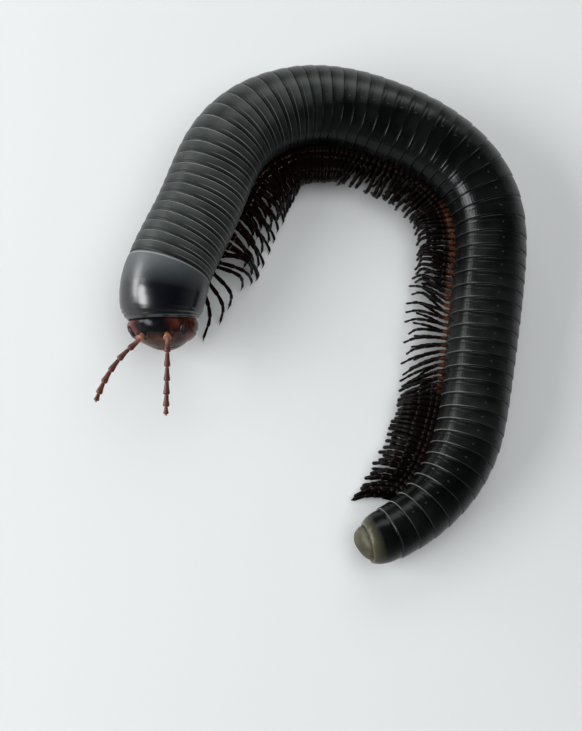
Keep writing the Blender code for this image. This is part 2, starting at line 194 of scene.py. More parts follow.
def hump(distance, width):
    """One in the middle, falling smoothly to nothing at the width."""
    share = min(abs(distance) / width, 1.0)
    return (1.0 - share * share) ** 2


def belly_lift(angle, share):
    """The shallow trough along the belly, and the two plates across it on which the legs stand."""
    from_belly = math.degrees(math.pi - abs(angle))
    plates = sum(hump(share - place, STERNITE_LENGTH) for place in LEG_PLACES)
    trough = -BELLY_TROUGH * hump(from_belly, BELLY_TROUGH_WIDTH)
    return trough + STERNITE_HEIGHT * plates * hump(from_belly, STERNITE_WIDTH)


def loft(name, rows, ends="capped"):
    """A mesh through rows of points that each close on themselves; its ends are capped or joined."""
    build = bmesh.new()
    rings = [[build.verts.new(point * MM) for point in row] for row in rows]
    pairs = list(zip(rings, rings[1:]))
    if ends == "joined":
        pairs.append((rings[-1], rings[0]))
    for near, far in pairs:
        for k in range(len(near)):
            build.faces.new((near[k], near[k - 1], far[k - 1], far[k]))
    if ends == "capped":
        build.faces.new(rings[0])
        build.faces.new(rings[-1])
    bmesh.ops.recalc_face_normals(build, faces=build.faces)
    return to_object(name, build)


def to_object(name, build):
    mesh = bpy.data.meshes.new(name)
    build.to_mesh(mesh)
    build.free()
    mesh.shade_smooth()
    thing = bpy.data.objects.new(name, mesh)
    bpy.context.scene.collection.objects.link(thing)
    return thing


def mark(thing, name, values):
    """Stores one number for each vertex, for the material to read."""
    attribute = thing.data.attributes.new(name, "FLOAT", "POINT")
    attribute.data.foreach_set("value", values)


def build_trunk():
    chance = random.Random(RING_SEED)
    angles = turn_angles(SHELL_SIDES)
    edges = ring_edges()
    rows, places = [], []
    tuck = Station(edges[0] - FIRST_TUCK)
    rows.append([tuck.skin(angle, RING_PROFILE[0][1]) for angle in angles])
    places.append(0.0)
    for ring, (near, far) in enumerate(zip(edges, edges[1:])):
        step = 1.0 + RING_VARIATION * (2.0 * chance.random() - 1.0)
        for share, lift in RING_PROFILE:
            here = Station(near + share * (far - near))
            rows.append([here.skin(angle, lift * step + belly_lift(angle, share)) for angle in angles])
            places.append(ring + share)
    for along, lift in TAIL_SECTIONS:
        here = Station(BODY_END + along)
        rows.append([here.skin(angle, lift, TAIL_LEAN * along / TAIL_LENGTH) for angle in angles])
        places.append(len(edges) - 1.0 + TAIL_PLACES[0] + TAIL_PLACES[1] * along)
    trunk = loft("trunk_shell", rows)
    mark(trunk, "ring_place", [place for place in places for angle in angles])
    mark(trunk, "flank", [abs(angle) for place in places for angle in angles])
    return trunk


def new_material(name, roughness):
    """A material, its node tree and its shader."""
    material = bpy.data.materials.new(name)
    material.use_nodes = True
    shader = material.node_tree.nodes["Principled BSDF"]
    shader.inputs["Roughness"].default_value = roughness
    return material, material.node_tree, shader


def add_node(tree, kind, values=(), **settings):
    """A node with settings by name, and with values or links for its inputs."""
    node = tree.nodes.new(kind)
    for name, setting in settings.items():
        setattr(node, name, setting)
    for socket, value in dict(values).items():
        if isinstance(value, bpy.types.NodeSocket):
            tree.links.new(value, node.inputs[socket])
        else:
            node.inputs[socket].default_value = value
    return node


def calculate(tree, operation, first, second=0.0, third=0.0):
    node = add_node(tree, "ShaderNodeMath", {0: first, 1: second, 2: third}, operation=operation)
    return node.outputs[0]


def blend_colours(tree, share, first, second):
    node = add_node(tree, "ShaderNodeMix", {0: share, 6: first, 7: second}, data_type="RGBA")
    return node.outputs[2]


def read_mark(tree, name):
    return add_node(tree, "ShaderNodeAttribute", attribute_name=name).outputs["Fac"]


def open_group(name, inputs, outputs):
    """An empty shader node group with named sockets, as (name, kind, value) and (name, kind)."""
    group = bpy.data.node_groups.new(name, "ShaderNodeTree")
    for socket, kind, value in inputs:
        made = group.interface.new_socket(socket, in_out="INPUT", socket_type=kind)
        if value is not None:
            made.default_value = value
    for socket, kind in outputs:
        group.interface.new_socket(socket, in_out="OUTPUT", socket_type=kind)
    entry = group.nodes.new("NodeGroupInput")
    leave = group.nodes.new("NodeGroupOutput")
    return group, entry.outputs, leave.inputs


def make_grain_group():
    """Fine pitting and soft cloudy patches of hard shell, from a place in metres."""
    group, given, result = open_group(
        "Shell grain",
        [("Place", "NodeSocketVector", None), ("Pits per metre", "NodeSocketFloat", 2000.0),
         ("Patches per metre", "NodeSocketFloat", 150.0)],
        [("Pits", "NodeSocketFloat"), ("Patches", "NodeSocketFloat")])
    for scale, detail, output in (("Pits per metre", 5.0, "Pits"), ("Patches per metre", 3.0, "Patches")):
        noise = add_node(group, "ShaderNodeTexNoise",
                         {"Vector": given["Place"], "Scale": given[scale], "Detail": detail})
        group.links.new(noise.outputs["Fac"], result[output])
    return group


def make_band_group():
    """A soft-edged band: one between Start and End, and nothing past Softness outside them."""
    group, given, result = open_group(
        "Band",
        [("Position", "NodeSocketFloat", 0.0), ("Start", "NodeSocketFloat", 0.4),
         ("End", "NodeSocketFloat", 0.6), ("Softness", "NodeSocketFloat", 0.02)],
        [("Mask", "NodeSocketFloat")])
    before = calculate(group, "SUBTRACT", given["Position"], given["Start"])
    after = calculate(group, "SUBTRACT", given["End"], given["Position"])
    nearest = calculate(group, "MINIMUM", before, after)
    share = calculate(group, "DIVIDE", nearest, given["Softness"])
    mask = add_node(group, "ShaderNodeMapRange", {0: share, 1: -1.0, 2: 0.0},
                    interpolation_type="SMOOTHSTEP")
    group.links.new(mask.outputs[0], result["Mask"])
    return group


SHELL_GRAIN = make_grain_group()
BAND = make_band_group()


def shell_grain(tree, pits, patches):
    place = add_node(tree, "ShaderNodeTexCoord").outputs["Object"]
    values = {"Place": place, "Pits per metre": pits, "Patches per metre": patches}
    node = add_node(tree, "ShaderNodeGroup", values, node_tree=SHELL_GRAIN)
    return node.outputs["Pits"], node.outputs["Patches"]


def band(tree, position, start, end, softness):
    values = {"Position": position, "Start": start, "End": end, "Softness": softness}
    return add_node(tree, "ShaderNodeGroup", values, node_tree=BAND).outputs["Mask"]


def ramp(tree, value, low, high, out_low, out_high):
    """Carries a value from one range to another, and stops at its ends."""
    node = add_node(tree, "ShaderNodeMapRange", {0: value, 1: low, 2: high, 3: out_low, 4: out_high})
    return node.outputs[0]


def add_bump(tree, shader, height, strength, distance):
    bump = add_node(tree, "ShaderNodeBump", {"Height": height, "Strength": strength, "Distance": distance})
    tree.links.new(bump.outputs["Normal"], shader.inputs["Normal"])


def make_trunk_material():
    material, tree, shader = new_material("Ringed black shell", 0.4)
    place = read_mark(tree, "ring_place")
    flank = read_mark(tree, "flank")
    share = calculate(tree, "FRACT", place)
    pits, patches = shell_grain(tree, 2600.0, 170.0)
    metazonite = band(tree, share, 0.37, 1.1, 0.05)
    rear_edge = band(tree, share, 0.94, 0.975, 0.015)
    seam = band(tree, share, 0.335, 0.355, 0.02)
    low_flank = ramp(tree, flank, 0.5, 1.1, 0.0, 1.0)
    lower_flank = band(tree, flank, 1.9, 2.8, 0.6)

    behind = ramp(tree, place, PAINTED_LIGHT_FADE_RINGS[0], PAINTED_LIGHT_FADE_RINGS[1], 0.0, 1.0)
    cloud = ramp(tree, patches, 0.35, 0.65, 0.0, 1.0)
    # Painted light: grey on the front rings, fading to black over the rings behind them
    ahead = blend_colours(tree, cloud, *FRONT_RING_PAINTED_LIGHT_GREYS)
    rear = blend_colours(tree, cloud, *REAR_RING_BLACKS)
    # Painted sheen: the back keeps its grey for more rings, and rings 44 to 51 are painted a little greyer
    delay = ramp(tree, flank, 0.7, 1.5, PAINTED_SHEEN_BACK_DELAY, 0.0)
    delayed = calculate(tree, "SUBTRACT", place, delay)
    painted_light_fade = ramp(tree, delayed, PAINTED_LIGHT_FADE_RINGS[0], PAINTED_LIGHT_FADE_RINGS[1], 0.0, 1.0)
    painted_sheen_patch = ramp(tree, band(tree, place, 44.0, 51.0, 5.0), 0.0, 1.0, 1.0, 0.82)
    colour = blend_colours(tree, calculate(tree, "MULTIPLY", painted_light_fade, painted_sheen_patch), ahead, rear)
    shade = ramp(tree, share, 0.0, 0.8, 0.12, 1.0)
    colour = blend_colours(tree, shade, RING_SHADOW, colour)
    on_back = calculate(tree, "SUBTRACT", 1.0, behind)
    # The pale rear edges are the rings' own; on the low flanks of the rear rings they grow stronger towards
    # the tail as painted glints
    rear_low_lines_and_glints = calculate(tree, "MULTIPLY", behind, ramp(tree, flank, 1.3, 2.2, 0.015, 0.2))
    visible = calculate(tree, "MULTIPLY_ADD", rear_low_lines_and_glints, ramp(tree, place, 40.0, 57.0, 0.6, 3.0), on_back)
    visible = calculate(tree, "MULTIPLY", visible, ramp(tree, patches, 0.3, 0.6, 0.5, 1.0))
    lines = calculate(tree, "MULTIPLY", rear_edge, visible)
    seams = calculate(tree, "MULTIPLY", seam, calculate(tree, "MULTIPLY", low_flank, on_back))
    lines = calculate(tree, "MAXIMUM", lines, seams)
    colour = blend_colours(tree, lines, colour, PALE_LINE)
    tail = ramp(tree, place, TAIL_TINT[0], TAIL_TINT[1], 0.0, 0.8)
    colour = blend_colours(tree, tail, colour, TAIL_OLIVE)
    tree.links.new(colour, shader.inputs["Base Color"])

    waves = calculate(tree, "SINE", calculate(tree, "MULTIPLY", flank, STRIAE_PER_RADIAN))
    striae = calculate(tree, "POWER", ramp(tree, waves, -1.0, 1.0, 0.0, 1.0), 2.0)
    ridges = calculate(tree, "MULTIPLY", striae, calculate(tree, "MULTIPLY", metazonite, lower_flank))
    height = calculate(tree, "MULTIPLY_ADD", ridges, 0.35, calculate(tree, "MULTIPLY", pits, 0.3))
    add_bump(tree, shader, height, 0.32, 0.00006)
    rough = calculate(tree, "MULTIPLY_ADD", behind, -0.12, ramp(tree, patches, 0.3, 0.7, 0.36, 0.44))
    glossier = calculate(tree, "MAXIMUM", band(tree, place, 24.0, 34.0, 5.0),
                         ramp(tree, place, 51.0, 57.0, 0.0, 1.0))
    glossier = calculate(tree, "MULTIPLY", glossier, ramp(tree, flank, 0.7, 1.5, 0.0, 1.0))
    rough = calculate(tree, "MULTIPLY_ADD", glossier, -0.05, rough)
    tree.links.new(rough, shader.inputs["Roughness"])
    shader.inputs["Specular IOR Level"].default_value = 0.18
    return material


trunk = build_trunk()
trunk.data.materials.append(make_trunk_material())
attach(trunk, "root")
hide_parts(*[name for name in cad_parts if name.startswith("trunk_")], "tail_ring")

# From the sixth ring back to the last but one, each flank of a ring has one tiny defence pore in a
# raised rim of the same black shell. All the rims are joined into one piece.
FIRST_PORED_RING = 5
PORE_ANGLE = 70.0
PORE_PLACE = 0.5
PORE_RADIUS = 0.17
PORE_RIM = 0.055
PORE_SIDES = 14
PORE_RIM_SIDES = 6
PORE_SINK = 0.04
PORE_BLACKS = ((0.003, 0.003, 0.003, 1.0), (0.012, 0.013, 0.012, 1.0))


def add_pore(build, centre, along, out):
    across = out.cross(along)
    loops = []
    for k in range(PORE_SIDES):
        turn = 2.0 * math.pi * k / PORE_SIDES
        spoke = along * math.cos(turn) + across * math.sin(turn)
        loop = []
        for j in range(PORE_RIM_SIDES):
            tilt = 2.0 * math.pi * j / PORE_RIM_SIDES
            point = centre + spoke * (PORE_RADIUS + PORE_RIM * math.cos(tilt))
            loop.append(build.verts.new((point + out * PORE_RIM * math.sin(tilt)) * MM))
        loops.append(loop)
    for near, far in zip(loops, loops[1:] + loops[:1]):
        for j in range(PORE_RIM_SIDES):
            build.faces.new((near[j], near[j - 1], far[j - 1], far[j]))


def build_pores():
    edges = ring_edges()
    build = bmesh.new()
    for near, far in list(zip(edges, edges[1:]))[FIRST_PORED_RING:-1]:
        here = Station(near + PORE_PLACE * (far - near))
        for angle in (math.radians(PORE_ANGLE), -math.radians(PORE_ANGLE)):
            out = here.dorsal * math.cos(angle) + here.left * math.sin(angle)
            add_pore(build, here.skin(angle, -PORE_SINK), here.back, out)
    bmesh.ops.recalc_face_normals(build, faces=build.faces)
    return to_object("pore_rims", build)


def make_pore_material():
    material, tree, shader = new_material("Black pore rim shell", 0.4)
    pits, patches = shell_grain(tree, 2600.0, 170.0)
    colour = blend_colours(tree, patches, *PORE_BLACKS)
    tree.links.new(colour, shader.inputs["Base Color"])
    add_bump(tree, shader, pits, 0.3, 0.00004)
    return material


pores = build_pores()
pores.data.materials.append(make_pore_material())
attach(pores, "root")

# The collum is the domed collar plate that covers the back of the head, smoother and glossier than the
# rings. It is one curved plate with a turned rim, widest at its rear edge, which lies over the first
# ring, and its side lobes carry a few ridges along their lower edge.
HEAD_PITCH = 12.0
COLLUM_SIDES = 128
COLLUM_STEPS = 4
# As (share of the plate's length, width and height over the body's, drop)
COLLUM_PROFILE = ((0.0, 0.77, 1.45), (0.015, 0.784, 1.36), (0.03, 0.805, 1.25), (0.06, 0.834, 1.07),
                  (0.12, 0.875, 0.84), (0.2, 0.913, 0.62), (0.32, 0.95, 0.4), (0.45, 0.977, 0.25),
                  (0.6, 0.994, 0.14), (0.8, 1.003, 0.05), (0.95, 1.0, 0.0), (1.0, 0.992, 0.0),
                  (1.02, 0.98, 0.0))
COLLUM_INSIDE = ((1.02, 0.955, 0.0), (0.9, 0.94, 0.0), (0.5, 0.92, 0.22), (0.15, 0.85, 0.75),
                 (0.02, 0.75, 1.4))
RIM_SHARE = 0.045
RIM_HEIGHT = 0.12
LOBE_RIDGES = (0.12, 0.19, 0.27)
LOBE_RIDGE_HEIGHT = 0.14
LOBE_START = 34.0
LOBE_SOFTNESS = 30.0
RIDGE_WIDTH = 0.03
COLLUM_BLACKS = ((0.0008, 0.001, 0.0016, 1.0), (0.002, 0.0025, 0.004, 1.0))
# The grey of the collum's rear is painted sheen
COLLUM_PAINTED_SHEEN = (0.036, 0.04, 0.042, 1.0)
COLLUM_EDGE = (0.15, 0.15, 0.14, 1.0)


def collum_row(share, scale, drop, angles, outside):
    here = Station(COLLUM_FRONT + share * (COLLUM_REAR - COLLUM_FRONT))
    here.centre = here.centre - here.dorsal * drop
    lean = (1.0 - min(share, 1.0)) * math.tan(math.radians(HEAD_PITCH))
    row = []
    for angle in angles:
        lift = (scale - 1.0) * here.radius
        if outside:
            from_lobe = max(0.0, math.degrees(abs(angle)) - LOBE_START)
            lobe = min(from_lobe / LOBE_SOFTNESS, 1.0)
            lift += RIM_HEIGHT * hump(share - RIM_SHARE, RIDGE_WIDTH)
            for ridge in LOBE_RIDGES:
                lift += LOBE_RIDGE_HEIGHT * lobe * hump(share - ridge, RIDGE_WIDTH)
        row.append(here.skin(angle, lift, lean))
    return row


def refine(stops, steps):
    """More stops between the given ones, on straight lines."""
    fine = []
    for near, far in zip(stops, stops[1:]):
        for k in range(steps):
            fine.append(tuple(a + (b - a) * k / steps for a, b in zip(near, far)))
    return fine + [stops[-1]]


def build_collum():
    angles = turn_angles(COLLUM_SIDES)
    outside = refine(COLLUM_PROFILE, COLLUM_STEPS)
    rows = [collum_row(*stop, angles, True) for stop in outside]
    rows += [collum_row(*stop, angles, False) for stop in COLLUM_INSIDE]
    plate = loft("collum_plate", rows, "joined")
    shares = [stop[0] for stop in outside] + [1.0 for stop in COLLUM_INSIDE]
    mark(plate, "share", [share for share in shares for angle in angles])
    return plate


def make_collum_material():
    material, tree, shader = new_material("Polished black shell", 0.2)
    share = read_mark(tree, "share")
    pits, patches = shell_grain(tree, 1500.0, 120.0)
    colour = blend_colours(tree, ramp(tree, patches, 0.35, 0.7, 0.0, 1.0), *COLLUM_BLACKS)
    # The rear of the collum is rougher satin shell, and is painted lighter grey as painted sheen
    satin_and_sheen = ramp(tree, share, 0.5, 0.95, 0.0, 1.0)
    colour = blend_colours(tree, satin_and_sheen, colour, COLLUM_PAINTED_SHEEN)
    edge = band(tree, share, 0.98, 0.99, 0.007)
    colour = blend_colours(tree, edge, colour, COLLUM_EDGE)
    tree.links.new(colour, shader.inputs["Base Color"])
    rough = calculate(tree, "MULTIPLY_ADD", satin_and_sheen, 0.26, ramp(tree, patches, 0.3, 0.7, 0.21, 0.27))
    tree.links.new(rough, shader.inputs["Roughness"])
    add_bump(tree, shader, pits, 0.12, 0.00004)
    shader.inputs["Specular IOR Level"].default_value = 0.6
    return material


POLISHED_SHELL = make_collum_material()
collum = build_collum()
collum.data.materials.append(POLISHED_SHELL)
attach(collum, "root")
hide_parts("collum")

# The head capsule is a rounded, polished box of shell under the front of the collum. A fine seam runs down
# the middle of its brow, its lower face is paler and ends in a notched lip, and each feeler stands in a
# dished socket.
HEAD_SIDES = 96
HEAD_STEPS = 10
# As (distance ahead of its back face, half width, half height, drop)
HEAD_SECTIONS = ((-0.8, 5.7, 5.2, 0.8), (0.0, 6.3, 5.6, 0.9), (1.0, 6.65, 5.8, 1.05),
                 (2.5, 6.3, 5.6, 1.45), (3.8, 5.35, 4.85, 2.05), (4.8, 4.15, 3.8, 2.65),
                 (5.5, 2.7, 2.5, 3.2), (5.85, 1.3, 1.2, 3.5), (5.95, 0.4, 0.4, 3.6))
HEAD_UNDERSIDE = 6.7
HEAD_TUCK = 0.3
SOCKET_PLACE = (3.3, 27.0)
SOCKET_RADIUS = 1.25
SOCKET_DEPTH = 0.4
SOCKET_RIM = 0.12
SOCKET_RIM_WIDTH = 0.35
# Each as (width, depth), and the bulge as (width, height)
BROW_SEAM = (0.2, 0.12)
FACE_FOLD = (0.4, 0.16)
LIP_PIT = (0.3, 0.2)
LIP_GROOVE = (0.32, 0.3)
LIP_NOTCH = (1.1, 0.5)
FACE_BULGE = (3.9, 0.3)
FACE_FOLD_RISE = -1.2
LIP_PIT_SIDES = (-2.2, -1.35, -0.48, 0.48, 1.35, 2.2)
LIP_PIT_RISE = -4.5
LIP_GROOVE_RISE = -5.3
FACE_BULGE_RISE = -3.2
BROW_SEAM_END = -0.6
FACE_START = 1.5
FACE_HALF_WIDTH = 5.0
# How much the fold falls, and how much the groove and the row of pits rise, away from the middle
FOLD_CURVE = 0.09
GROOVE_CURVE = 0.05
PIT_CURVE = 0.06
BROW_BLACK = (0.003, 0.003, 0.004, 1.0)
SIDE_REDS = ((0.016, 0.004, 0.003, 1.0), (0.07, 0.017, 0.012, 1.0))
FACE_BROWNS = ((0.018, 0.0058, 0.003, 1.0), (0.07, 0.025, 0.011, 1.0))
LIP_BROWN = (0.12, 0.047, 0.021, 1.0)


def through(stops, x):
    """A smooth curve through (x, values...) stops, read at x."""
    index = next((k for k in range(len(stops) - 2) if x <= stops[k + 1][0]), len(stops) - 2)
    before = stops[max(index - 1, 0)]
    near, far = stops[index], stops[index + 1]
    after = stops[min(index + 2, len(stops) - 1)]
    width = far[0] - near[0]
    share = (x - near[0]) / width
    values = []
    for k in range(1, len(near)):
        leave = (far[k] - before[k]) / (far[0] - before[0]) * width
        arrive = (after[k] - near[k]) / (after[0] - near[0]) * width
        rise = far[k] - near[k]
        cubic = leave + arrive - 2.0 * rise
        square = 3.0 * rise - 2.0 * leave - arrive
        values.append(near[k] + share * (leave + share * (square + share * cubic)))
    return values


class Head:
    """The head's own directions, from the body's at its back face."""

    def __init__(self):
        here = Station(COLLUM_FRONT - HEAD_TUCK)
        pitch = math.radians(HEAD_PITCH)
        self.back_centre = here.centre
        self.ahead = -here.back * math.cos(pitch) - here.dorsal * math.sin(pitch)
        self.left = here.left
        self.dorsal = here.dorsal * math.cos(pitch) - here.back * math.sin(pitch)

    def place(self, ahead, side, rise):
        return self.back_centre + self.ahead * ahead + self.left * side + self.dorsal * rise

    def rim(self, ahead, angle):
        """A point on the surface, at an angle from the top towards the animal's left."""
        half_width, half_height, drop = through(HEAD_SECTIONS, ahead)
        rise = max(half_height * math.cos(angle) - drop, -HEAD_UNDERSIDE)
        return self.place(ahead, half_width * math.sin(angle), rise)

    def directions(self, ahead, angle):
        """The way along the surface towards the front, the way round it, and the way out of it."""
        small = 0.05
        forward = self.rim(ahead + small, angle) - self.rim(ahead - small, angle)
        around = self.rim(ahead, angle + small) - self.rim(ahead, angle - small)
        out = around.cross(forward).normalized()
        if out.dot(self.rim(ahead, angle) - self.back_centre) < 0.0:
            out = -out
        forward.normalize()
        return forward, out.cross(forward), out


head = Head()


def face_depth(ahead, side, rise):
    """How deep the seams, pits and notched lip of the face are, less the bulge of its middle."""
    depth = BROW_SEAM[1] * hump(side, BROW_SEAM[0]) * min(max(rise - BROW_SEAM_END, 0.0), 1.0)
    if ahead < FACE_START:
        return depth
    fade = hump(side, FACE_HALF_WIDTH)
    above_fold = rise - FACE_FOLD_RISE + FOLD_CURVE * side * side
    depth += FACE_FOLD[1] * fade * hump(above_fold, FACE_FOLD[0])
    above_groove = rise - LIP_GROOVE_RISE - GROOVE_CURVE * side * side
    depth += LIP_GROOVE[1] * fade * hump(above_groove, LIP_GROOVE[0])
    for place in LIP_PIT_SIDES:
        reach = math.hypot(side - place, rise - LIP_PIT_RISE - PIT_CURVE * side * side)
        depth += LIP_PIT[1] * hump(reach, LIP_PIT[0])
    if rise < LIP_GROOVE_RISE:
        depth += LIP_NOTCH[1] * hump(side, LIP_NOTCH[0]) * min(LIP_GROOVE_RISE - rise, 1.0)
    return depth - FACE_BULGE[1] * hump(math.hypot(side, rise - FACE_BULGE_RISE), FACE_BULGE[0])


def build_head():
    angles = turn_angles(HEAD_SIDES)
    sockets = []
    for side in (1, -1):
        turn = side * math.radians(SOCKET_PLACE[1])
        sockets.append((head.rim(SOCKET_PLACE[0], turn), head.directions(SOCKET_PLACE[0], turn)[2]))
    rows, aheads, rises = [], [], []
    for section in refine(HEAD_SECTIONS, HEAD_STEPS):
        ahead = section[0]
        row = []
        for angle in angles:
            point = head.rim(ahead, angle)
            from_back = point - head.back_centre
            depth = face_depth(ahead, from_back.dot(head.left), from_back.dot(head.dorsal))
            point = point - from_back.normalized() * depth
            for socket, out in sockets:
                reach = (point - socket).length
                point = point - out * SOCKET_DEPTH * hump(reach, SOCKET_RADIUS)
                point = point + out * SOCKET_RIM * hump(reach - SOCKET_RADIUS, SOCKET_RIM_WIDTH)
            row.append(point)
            aheads.append(ahead)
            rises.append(from_back.dot(head.dorsal))
        rows.append(row)
    capsule = loft("head_capsule", rows)
    mark(capsule, "ahead", aheads)
    mark(capsule, "rise", rises)
    mark(capsule, "from_top", [abs(angle) for row in rows for angle in angles])
    return capsule


def make_head_material():
    material, tree, shader = new_material("Polished face shell", 0.16)
    ahead = read_mark(tree, "ahead")
    from_top = read_mark(tree, "from_top")
    pits, patches = shell_grain(tree, 1800.0, 480.0)
    lip = ramp(tree, ahead, 2.7, 4.2, 0.0, 1.0)
    side = band(tree, from_top, 0.75, 2.8, 0.4)
    cloud = ramp(tree, patches, 0.35, 0.65, 0.0, 1.0)
    brown = blend_colours(tree, cloud, *FACE_BROWNS)
    near_lip = ramp(tree, read_mark(tree, "rise"), -5.2, -2.5, 0.75, 0.0)
    brown = blend_colours(tree, near_lip, brown, LIP_BROWN)
    colour = blend_colours(tree, side, BROW_BLACK, blend_colours(tree, cloud, *SIDE_REDS))
    colour = blend_colours(tree, lip, colour, brown)
    tree.links.new(colour, shader.inputs["Base Color"])
    tree.links.new(ramp(tree, patches, 0.3, 0.7, 0.12, 0.24), shader.inputs["Roughness"])
    add_bump(tree, shader, pits, 0.2, 0.00004)
    shader.inputs["Specular IOR Level"].default_value = 0.13
    return material


capsule = build_head()
capsule.data.materials.append(make_head_material())
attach(capsule, "root")
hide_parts("head")

# Each feeler is a string of seven jointed articles of brown shell, slim where each one starts and wider
# at its end, with a pale skin at the joints and a blunt tip that carries four tiny cones.
ARTICLES = (1.4, 3.0, 2.9, 2.8, 2.6, 2.3, 1.4)
# As (share of the article's length, radius)
ARTICLE_PROFILE = ((0.0, 0.3), (0.04, 0.38), (0.12, 0.42), (0.3, 0.45), (0.5, 0.51), (0.68, 0.6),
                   (0.8, 0.65), (0.9, 0.63), (0.96, 0.52), (0.99, 0.36))
ARTICLE_GIRTHS = (1.3, 1.0, 0.98, 0.98, 1.02, 1.02, 0.85)
ANTENNA_DEPTH = 0.4
SOCKET_BEND = 3.0
LEFT_ANTENNA_COURSE = ((0.0, -1.0, 0.1), (0.02, -1.0, 0.05))
RIGHT_ANTENNA_COURSE = ((-0.8, -0.6, 0.1), (-0.25, -0.95, 0.05))
ANTENNA_DROOP = 0.02
ANTENNA_STEP = 0.05
ANTENNA_SIDES = 20
STEPS_PAST_TIP = 4
# As (radius at its foot, radius at its top, height)
TIP_CONE = (0.091, 0.026, 0.35)
TIP_CONES = 4
TIP_CONE_SPREAD = 0.17
TIP_CONE_AHEAD = 0.12
FEELER_MAHOGANIES = ((0.02, 0.005, 0.0035, 1.0), (0.058, 0.015, 0.01, 1.0))
FEELER_JOINT_SKIN = (0.15, 0.06, 0.045, 1.0)
FEELER_BASE = (0.26, 0.11, 0.065, 1.0)
SIDES = (("left", 1), ("right", -1))


def antenna_line(side):
    """Points along a feeler, one every step, from inside its socket to just past its tip."""
    ahead, angle = SOCKET_PLACE[0], side * math.radians(SOCKET_PLACE[1])
    out = head.directions(ahead, angle)[2]
    start, end = (Vector(way) for way in (LEFT_ANTENNA_COURSE if side > 0 else RIGHT_ANTENNA_COURSE))
    length = sum(ARTICLES)
    points = [head.rim(ahead, angle) - out * ANTENNA_DEPTH]
    for k in range(round(length / ANTENNA_STEP) + STEPS_PAST_TIP):
        travelled = max(k * ANTENNA_STEP - ANTENNA_DEPTH, 0.0)
        direction = start.lerp(end, travelled / length)
        heading = out.lerp(direction, min(travelled / SOCKET_BEND, 1.0)) - UP * ANTENNA_DROOP * travelled
        points.append(points[-1] + heading.normalized() * ANTENNA_STEP)
    return points


def round_row(centre, tangent, beside, radius, sides):
    """Points on a circle square to a tangent."""
    across = (beside - tangent * beside.dot(tangent)).normalized()
    over = tangent.cross(across)
    row = []
    for k in range(sides):
        angle = 2.0 * math.pi * k / sides
        row.append(centre + radius * (across * math.cos(angle) + over * math.sin(angle)))
    return row


def build_antenna(name, side):
    points = antenna_line(side)
    rows, places = [], []
    travelled = 0.0
    for number, length in enumerate(ARTICLES):
        for share, radius in ARTICLE_PROFILE:
            at = (travelled + share * length) / ANTENNA_STEP
            index = int(at)
            centre = points[index].lerp(points[index + 1], at - index)
            tangent = (points[index + 2] - points[max(index - 2, 0)]).normalized()
            girth = radius * ARTICLE_GIRTHS[number]
            rows.append(round_row(centre, tangent, UP, girth, ANTENNA_SIDES))
            places.append(number + share)
        travelled += length
    antenna = loft(name, rows)
    mark(antenna, "article", [place for place in places for k in range(ANTENNA_SIDES)])
    tip = points[-STEPS_PAST_TIP]
    tangent = (tip - points[-2 * STEPS_PAST_TIP]).normalized()
    build = bmesh.new()
    build.from_mesh(antenna.data)
    for foot in round_row(tip, tangent, UP, TIP_CONE_SPREAD, TIP_CONES):
        offset = foot + tangent * TIP_CONE_AHEAD
        turn = tangent.to_track_quat("Z", "Y").to_matrix().to_4x4()
        matrix = Matrix.Translation(offset * MM) @ turn
        bmesh.ops.create_cone(build, cap_ends=True, segments=8, radius1=TIP_CONE[0] * MM,
                              radius2=TIP_CONE[1] * MM, depth=TIP_CONE[2] * MM, matrix=matrix)
    build.to_mesh(antenna.data)
    build.free()
    antenna.data.shade_smooth()
    return antenna


def make_antenna_material():
    material, tree, shader = new_material("Mahogany feeler shell", 0.28)
    article = read_mark(tree, "article")
    share = calculate(tree, "FRACT", article)
    pits, patches = shell_grain(tree, 3000.0, 400.0)
    base = calculate(tree, "MULTIPLY", ramp(tree, article, 0.7, 1.6, 1.0, 0.1),
                     ramp(tree, patches, 0.3, 0.7, 0.6, 1.0))
    joint = calculate(tree, "SUBTRACT", 1.0, band(tree, share, 0.09, 0.93, 0.05))
    colour = blend_colours(tree, patches, *FEELER_MAHOGANIES)
    colour = blend_colours(tree, calculate(tree, "MULTIPLY", joint, 0.35), colour, FEELER_JOINT_SKIN)
    colour = blend_colours(tree, base, colour, FEELER_BASE)
    tree.links.new(colour, shader.inputs["Base Color"])
    add_bump(tree, shader, pits, 0.25, 0.00004)
    shader.inputs["Specular IOR Level"].default_value = 0.28
    return material


FEELER_SHELL = make_antenna_material()
for word, side in SIDES:
    antenna = build_antenna(f"feeler_{word}", side)
    antenna.data.materials.append(FEELER_SHELL)
    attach(antenna, "root")
    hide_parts(f"antenna_{word}")

# Each eye is a raised black patch beside a feeler's socket, packed with small glassy lenses in rows.
# A low oval cushion carries them, and each lens is a dome of its own.
EYE_PLACE = (2.3, 61.0)
EYE_HALF_SIZE = (1.3, 0.85, 0.3)
LENS_RADIUS = 0.115
LENS_PITCH = 0.21
LENS_ROW_PITCH = 0.189
BARE_MARGIN = 0.12
LENS_BLACKS = ((0.003, 0.003, 0.004, 1.0), (0.014, 0.009, 0.007, 1.0))


def lump(build, centre, axes, half_sizes, segments):
    """Adds a rounded lump with its half sizes along three directions."""
    matrix = Matrix.Identity(4)
    for column, (axis, half_size) in enumerate(zip(axes, half_sizes)):
        for row in range(3):
            matrix[row][column] = axis[row] * half_size * MM
    matrix.translation = centre * MM
    made = bmesh.ops.create_uvsphere(build, u_segments=segments, v_segments=segments * 2 // 3, radius=1.0)
    bmesh.ops.transform(build, matrix=matrix, verts=made["verts"])
    return made["verts"]


